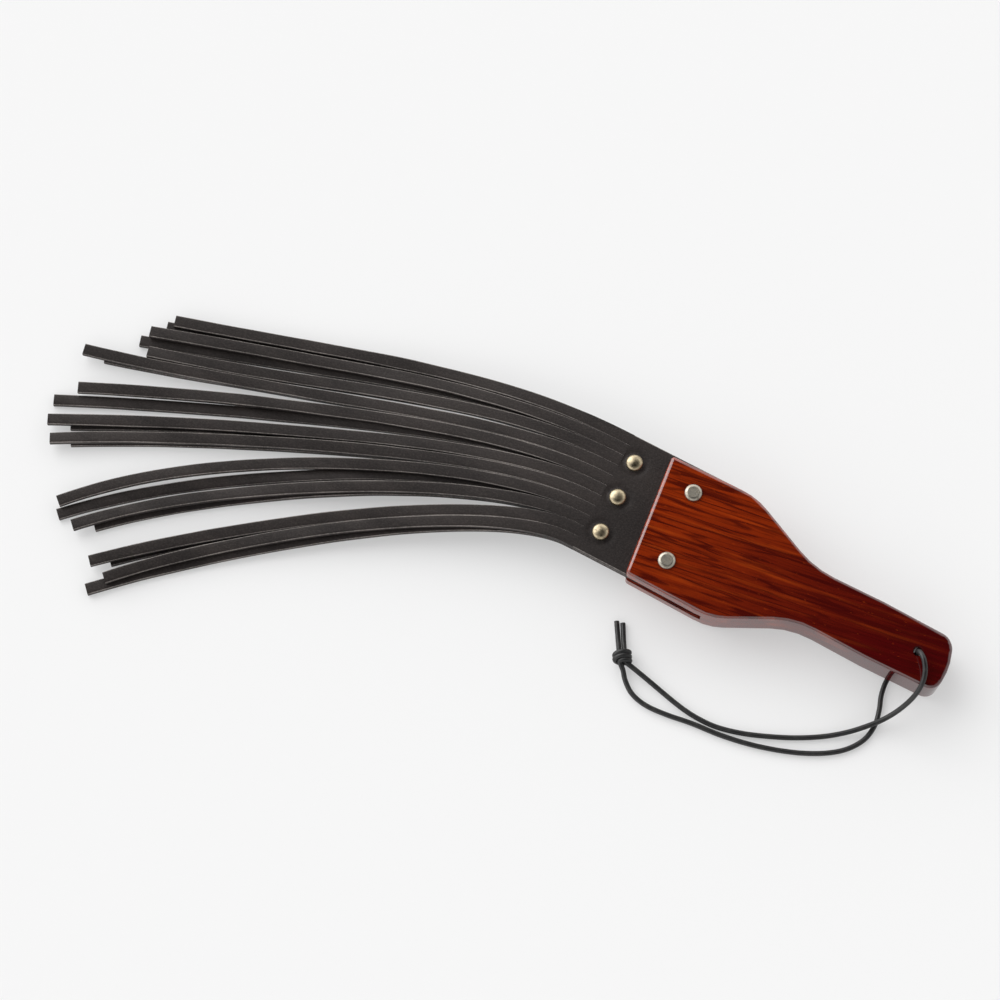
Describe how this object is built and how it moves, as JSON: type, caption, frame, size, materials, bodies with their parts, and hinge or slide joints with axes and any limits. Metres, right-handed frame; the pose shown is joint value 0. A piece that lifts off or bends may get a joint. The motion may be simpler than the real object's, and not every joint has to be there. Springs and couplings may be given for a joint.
{
  "type": "fly swatter",
  "caption": "Leather fly swatter: glossy hardwood handle, riveted layers of thick leather slit into long narrow strips, and a lace lanyard tied through the grip.",
  "frame": {"origin": "the middle of the handle's flat back face, on the handle's axis", "axes": "+X along the handle towards the leather, +Y towards the side that the strips curve to and the lanyard lies on, +Z out of the handle's front face"},
  "size_m": [0.5042, 0.2184, 0.0312],
  "materials": {
    "wood": "red-brown hardwood under a thick clear gloss varnish",
    "leather": "black bridle leather, matte with a fine grain, paler cut edges",
    "nickel": "bright nickel-plated rivets, lightly dished heads",
    "antique_nickel": "antique nickel-plated rivets, domed caps",
    "lace": "round black leather lace, satin"
  },
  "bodies": {
    "held": {"handle": "wood", "upper_leather_tab": "leather", "lower_leather_tab": "leather", "wood_rivet_barrel_1": "nickel", "wood_rivet_post_1": "nickel", "wood_rivet_barrel_2": "nickel", "wood_rivet_post_2": "nickel", "leather_rivet_cap_1": "antique_nickel", "leather_rivet_stud_1": "antique_nickel", "leather_rivet_cap_2": "antique_nickel", "leather_rivet_stud_2": "antique_nickel", "leather_rivet_cap_3": "antique_nickel", "leather_rivet_stud_3": "antique_nickel", "lanyard_front_leg": "lace", "lanyard_back_leg": "lace", "lanyard_knot": "lace", "lanyard_tail_1": "lace", "lanyard_tail_2": "lace"},
    "lash_01": {"upper_strip_01": "leather", "lower_strip_01": "leather"},
    "lash_02": {"upper_strip_02": "leather", "lower_strip_02": "leather"},
    "lash_03": {"upper_strip_03": "leather", "lower_strip_03": "leather"},
    "lash_04": {"upper_strip_04": "leather", "lower_strip_04": "leather"},
    "lash_05": {"upper_strip_05": "leather", "lower_strip_05": "leather"},
    "lash_06": {"upper_strip_06": "leather", "lower_strip_06": "leather"},
    "lash_07": {"upper_strip_07": "leather", "lower_strip_07": "leather"},
    "lash_08": {"upper_strip_08": "leather", "lower_strip_08": "leather"},
    "lash_09": {"upper_strip_09": "leather", "lower_strip_09": "leather"},
    "lash_10": {"upper_strip_10": "leather", "lower_strip_10": "leather"},
    "lash_11": {"upper_strip_11": "leather", "lower_strip_11": "leather"}
  },
  "joints": [
    {"name": "lash_01_lift", "type": "hinge", "parent": "held", "child": "lash_01", "pos_m": [0.1196, -0.035, 0.011], "axis": [0, -1, 0], "range_deg": [0, 60], "stiffness_Nm_per_rad": 0.01},
    {"name": "lash_02_lift", "type": "hinge", "parent": "held", "child": "lash_02", "pos_m": [0.1196, -0.0284, 0.011], "axis": [0, -1, 0], "range_deg": [0, 60], "stiffness_Nm_per_rad": 0.01},
    {"name": "lash_03_lift", "type": "hinge", "parent": "held", "child": "lash_03", "pos_m": [0.1196, -0.0218, 0.011], "axis": [0, -1, 0], "range_deg": [0, 60], "stiffness_Nm_per_rad": 0.01},
    {"name": "lash_04_lift", "type": "hinge", "parent": "held", "child": "lash_04", "pos_m": [0.1196, -0.0152, 0.011], "axis": [0, -1, 0], "range_deg": [0, 60], "stiffness_Nm_per_rad": 0.01},
    {"name": "lash_05_lift", "type": "hinge", "parent": "held", "child": "lash_05", "pos_m": [0.1196, -0.0086, 0.011], "axis": [0, -1, 0], "range_deg": [0, 60], "stiffness_Nm_per_rad": 0.01},
    {"name": "lash_06_lift", "type": "hinge", "parent": "held", "child": "lash_06", "pos_m": [0.1196, -0.002, 0.011], "axis": [0, -1, 0], "range_deg": [0, 60], "stiffness_Nm_per_rad": 0.01},
    {"name": "lash_07_lift", "type": "hinge", "parent": "held", "child": "lash_07", "pos_m": [0.1196, 0.0046, 0.011], "axis": [0, -1, 0], "range_deg": [0, 60], "stiffness_Nm_per_rad": 0.01},
    {"name": "lash_08_lift", "type": "hinge", "parent": "held", "child": "lash_08", "pos_m": [0.1196, 0.0112, 0.011], "axis": [0, -1, 0], "range_deg": [0, 60], "stiffness_Nm_per_rad": 0.01},
    {"name": "lash_09_lift", "type": "hinge", "parent": "held", "child": "lash_09", "pos_m": [0.1196, 0.0178, 0.011], "axis": [0, -1, 0], "range_deg": [0, 60], "stiffness_Nm_per_rad": 0.01},
    {"name": "lash_10_lift", "type": "hinge", "parent": "held", "child": "lash_10", "pos_m": [0.1196, 0.0244, 0.011], "axis": [0, -1, 0], "range_deg": [0, 60], "stiffness_Nm_per_rad": 0.01},
    {"name": "lash_11_lift", "type": "hinge", "parent": "held", "child": "lash_11", "pos_m": [0.1196, 0.031, 0.011], "axis": [0, -1, 0], "range_deg": [0, 60], "stiffness_Nm_per_rad": 0.01}
  ]
}
